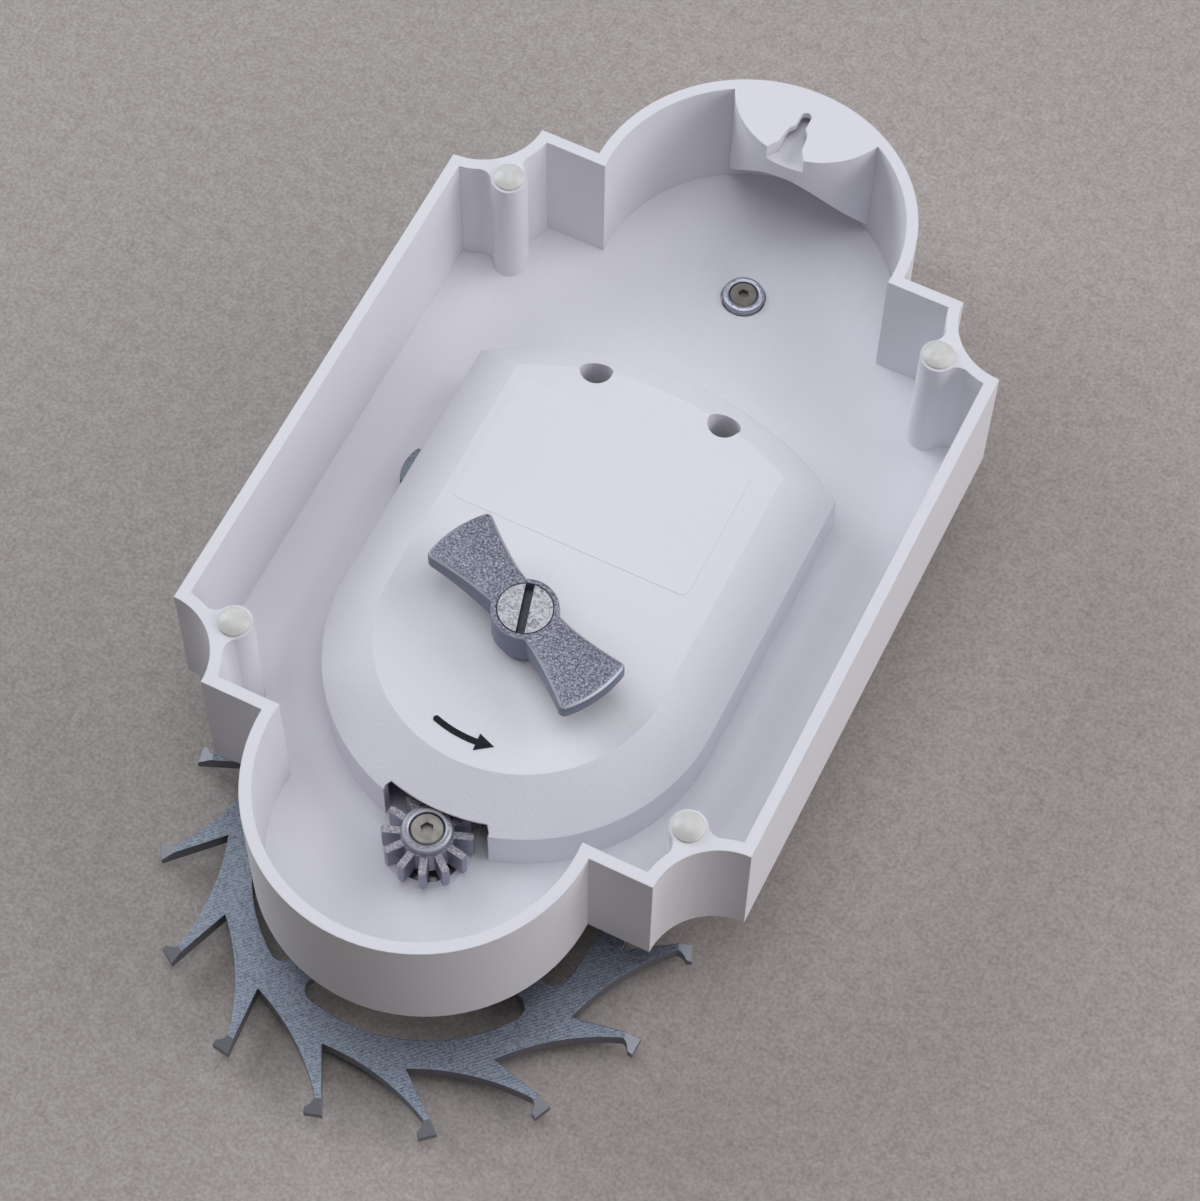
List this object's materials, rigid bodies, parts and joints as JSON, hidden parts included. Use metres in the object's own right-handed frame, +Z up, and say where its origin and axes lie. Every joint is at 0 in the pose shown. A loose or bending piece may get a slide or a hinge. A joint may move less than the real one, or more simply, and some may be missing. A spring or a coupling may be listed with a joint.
{
  "type": "escapement model",
  "caption": "Printed demonstration model of a lever escapement in an open-backed case, with winding key, spring cover, escape wheel, lever and balance.",
  "frame": {"origin": "under the middle of the whole part, at the level of its front-most pieces, with the model lying on its front", "axes": "+X to the right seen from the back, +Y along the case towards the hanger, +Z up out of the open back of the case"},
  "size_m": [0.15, 0.2848, 0.0606],
  "materials": {
    "white_print": "white matt print with fine layer lines",
    "silver_print": "silver sparkling print",
    "screw_steel": "satin steel",
    "bearing_steel": "polished bearing steel",
    "seal_rubber": "black seal",
    "clear_silicone": "clear soft dome",
    "label_film": "bare white film",
    "arrow_black": "matt black",
    "spring_steel": "blued spring steel",
    "ruby": "polished red",
    "brass": "turned brass"
  },
  "bodies": {
    "case": {"case_shell": "white_print", "bumper_feet": "clear_silicone", "spring_cover": "white_print", "cover_screws": "screw_steel", "blank_label": "label_film", "winding_arrow": "arrow_black", "spring_anchor": "silver_print", "mainspring": "spring_steel", "escape_bearing_outer": "bearing_steel", "escape_bearing_seal": "seal_rubber", "escape_bearing_balls": "bearing_steel", "balance_bearing_outer": "bearing_steel", "balance_bearing_balls": "bearing_steel", "lever_post": "screw_steel", "banking_posts": "screw_steel", "hairspring": "spring_steel", "hairspring_stud": "brass"},
    "escape": {"escape_wheel": "silver_print", "escape_sleeve": "screw_steel", "escape_pinion": "silver_print", "escape_screw": "screw_steel", "escape_nut": "screw_steel", "escape_bearing_inner": "bearing_steel"},
    "great": {"great_wheel": "silver_print", "click_pin": "screw_steel", "click_spring": "spring_steel"},
    "click": {"click": "silver_print"},
    "winding": {"winding_arbor": "silver_print", "ratchet_wheel": "silver_print", "winding_key": "silver_print"},
    "lever": {"lever": "silver_print", "pallet_stones": "ruby", "guard_pin": "screw_steel"},
    "balance": {"balance_wheel": "silver_print", "balance_staff": "screw_steel", "double_roller": "silver_print", "impulse_pin": "ruby", "hairspring_collet": "brass", "balance_bush": "silver_print", "balance_screw": "screw_steel", "balance_bearing_inner": "bearing_steel"}
  },
  "joints": [
    {"name": "great_turn", "type": "hinge", "parent": "case", "child": "great", "pos_m": [0, -0.02436, 0.027], "axis": [0, 0, 1], "continuous": true},
    {"name": "escape_turn", "type": "hinge", "parent": "case", "child": "escape", "pos_m": [0, -0.0758, 0.018], "axis": [0, 0, 1], "continuous": true},
    {"name": "winding_turn", "type": "hinge", "parent": "case", "child": "winding", "pos_m": [0, -0.02436, 0.04], "axis": [0, 0, 1], "continuous": true},
    {"name": "click_lift", "type": "hinge", "parent": "great", "child": "click", "pos_m": [0.02255, -0.01615, 0.028], "axis": [0, 0, -1], "range_deg": [0, 8], "stiffness_Nm_per_rad": 0.002},
    {"name": "lever_swing", "type": "hinge", "parent": "case", "child": "lever", "pos_m": [0, 0.0011, 0.005], "axis": [0, 0, 1], "range_deg": [-5, 5]},
    {"name": "balance_swing", "type": "hinge", "parent": "case", "child": "balance", "pos_m": [0, 0.1002, 0.012], "axis": [0, 0, 1], "range_deg": [-270, 270], "stiffness_Nm_per_rad": 0.0008}
  ],
  "couplings": [
    {"joint": "escape_turn", "follows": "great_turn", "ratio": -4.5}
  ]
}
